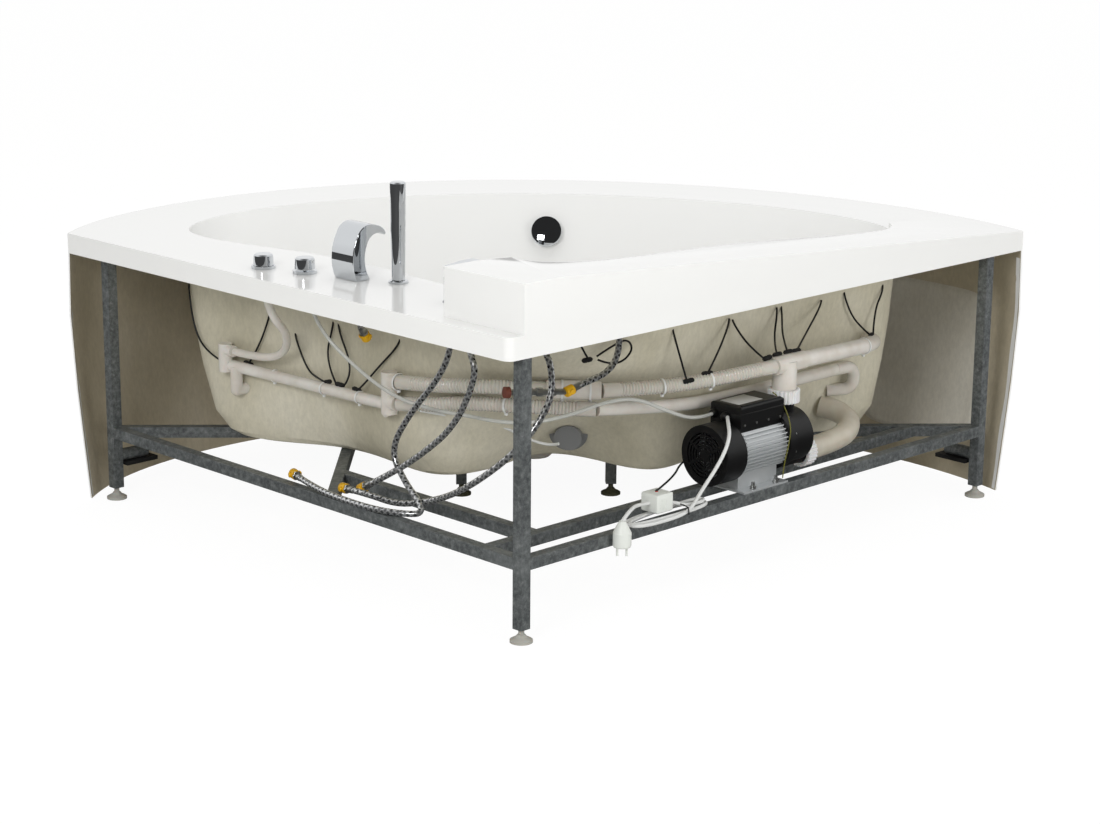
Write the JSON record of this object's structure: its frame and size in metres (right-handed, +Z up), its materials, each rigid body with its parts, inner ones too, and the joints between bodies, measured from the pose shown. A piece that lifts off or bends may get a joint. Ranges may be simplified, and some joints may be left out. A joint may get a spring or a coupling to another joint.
{
  "type": "corner bathtub",
  "caption": "Corner bathtub with water jets on a steel tube frame, open at the back, with deck taps, hand shower, waste, pump and pipework.",
  "frame": {"origin": "middle of the outline on the floor, cords left out", "axes": "+X towards the tap end along the front, -Y out of the curved front, +Z up; the room corner is at +Y"},
  "size_m": [2.2006, 1.8217, 0.834],
  "materials": {
    "acrylic": "gloss",
    "galvanised": "satin",
    "foot_plastic": "matte",
    "dark_foot": "matte",
    "bracket_steel": "satin",
    "rubber": "matte",
    "chrome": "polished",
    "pvc": "gloss",
    "hose": "satin",
    "black_plastic": "satin",
    "motor_aluminium": "satin",
    "motor_steel": "satin",
    "braid": "satin",
    "yellow": "satin",
    "grey_plastic": "satin",
    "cable_white": "satin",
    "lead_black": "satin"
  },
  "bodies": {
    "bath": {"bath_shell": "acrylic", "bath_bowl": "acrylic", "front_apron": "acrylic", "corner_leg": "galvanised", "tap_end_leg": "galvanised", "pump_end_leg": "galvanised", "front_legs": "galvanised", "tap_wall_rail": "galvanised", "pump_wall_rail": "galvanised", "chord_rail": "galvanised", "inner_pump_rail": "galvanised", "inner_tap_rail": "galvanised", "cross_rail": "galvanised", "apron_brackets": "bracket_steel", "apron_pads": "rubber", "knob_collars": "chrome", "bath_spout": "chrome", "shower_holder": "chrome", "mixer_body": "chrome", "deck_nuts": "pvc", "overflow_body": "pvc", "overflow_pipe": "pvc", "waste_flange": "chrome", "waste_trap": "pvc", "motor_housing": "motor_aluminium", "fan_cover": "black_plastic", "terminal_box": "black_plastic", "pump_casing": "black_plastic", "motor_stator": "motor_steel", "pump_unions": "pvc", "pump_bolts": "galvanised", "jet_bodies": "pvc", "manifold": "pvc", "ribbed_hoses": "hose", "pressure_hose": "hose", "pressure_tee": "pvc", "air_hoses": "hose", "lower_hose": "hose", "suction_hose": "hose", "lamp_housing": "grey_plastic", "braided_hoses": "braid", "hose_caps": "yellow", "power_cable": "cable_white", "cable_hank": "cable_white", "mains_plug": "cable_white", "switch_box": "cable_white", "light_leads": "lead_black"},
    "corner_foot": {"corner_foot": "foot_plastic"},
    "tap_end_foot": {"tap_end_foot": "foot_plastic"},
    "pump_end_foot": {"pump_end_foot": "foot_plastic"},
    "front_foot_one": {"front_foot_one": "dark_foot"},
    "front_foot_two": {"front_foot_two": "dark_foot"},
    "air_knob": {"air_knob": "chrome"},
    "pump_button": {"pump_button": "chrome"},
    "hand_shower": {"hand_shower": "chrome"},
    "mixer_swivel": {"mixer_cartridge": "chrome"},
    "mixer_lever": {"mixer_lever": "chrome"},
    "overflow_knob": {"overflow_knob": "chrome"},
    "waste_plug": {"waste_plug": "chrome"},
    "pump_rotor": {"pump_rotor": "motor_steel"}
  },
  "joints": [
    {"name": "corner_foot_thread", "type": "slide", "parent": "bath", "child": "corner_foot", "axis": [0, 0, -1], "range_m": [0, 0.02]},
    {"name": "tap_end_foot_thread", "type": "slide", "parent": "bath", "child": "tap_end_foot", "axis": [0, 0, -1], "range_m": [0, 0.02]},
    {"name": "pump_end_foot_thread", "type": "slide", "parent": "bath", "child": "pump_end_foot", "axis": [0, 0, -1], "range_m": [0, 0.02]},
    {"name": "front_foot_one_thread", "type": "slide", "parent": "bath", "child": "front_foot_one", "axis": [0, 0, -1], "range_m": [0, 0.02]},
    {"name": "front_foot_two_thread", "type": "slide", "parent": "bath", "child": "front_foot_two", "axis": [0, 0, -1], "range_m": [0, 0.02]},
    {"name": "air_knob_turn", "type": "hinge", "parent": "bath", "child": "air_knob", "pos_m": [0.6074, 0.26575, 0.64], "axis": [0, 0, 1], "range_deg": [0, 270]},
    {"name": "pump_button_press", "type": "slide", "parent": "bath", "child": "pump_button", "axis": [0, 0, -1], "range_m": [0, 0.003], "stiffness_N_per_m": 1500, "springref_m": -0.003},
    {"name": "hand_shower_lift", "type": "slide", "parent": "bath", "child": "hand_shower", "axis": [0, 0, 1], "range_m": [0, 0.25]},
    {"name": "mixer_swivel_turn", "type": "hinge", "parent": "bath", "child": "mixer_swivel", "pos_m": [0.18455, 0.59102, 0.68], "axis": [0, 0, 1], "range_deg": [-45, 45]},
    {"name": "mixer_lever_tilt", "type": "hinge", "parent": "mixer_swivel", "child": "mixer_lever", "pos_m": [0.19304, 0.59951, 0.6906], "axis": [-0.7071, 0.7071, 0], "range_deg": [0, 22]},
    {"name": "overflow_knob_turn", "type": "hinge", "parent": "bath", "child": "overflow_knob", "pos_m": [0.01248, -0.65743, 0.53], "axis": [0.0255, 0.9116, 0.4104], "range_deg": [0, 90]},
    {"name": "waste_plug_lift", "type": "slide", "parent": "bath", "child": "waste_plug", "axis": [0, 0, 1], "range_m": [0, 0.012]},
    {"name": "pump_rotor_spin", "type": "hinge", "parent": "bath", "child": "pump_rotor", "pos_m": [-0.43204, 0.31666, 0.257], "axis": [-0.7071, -0.7071, 0], "continuous": true}
  ],
  "couplings": [
    {"joint": "waste_plug_lift", "follows": "overflow_knob_turn", "m_per_rad": 0.007639}
  ]
}
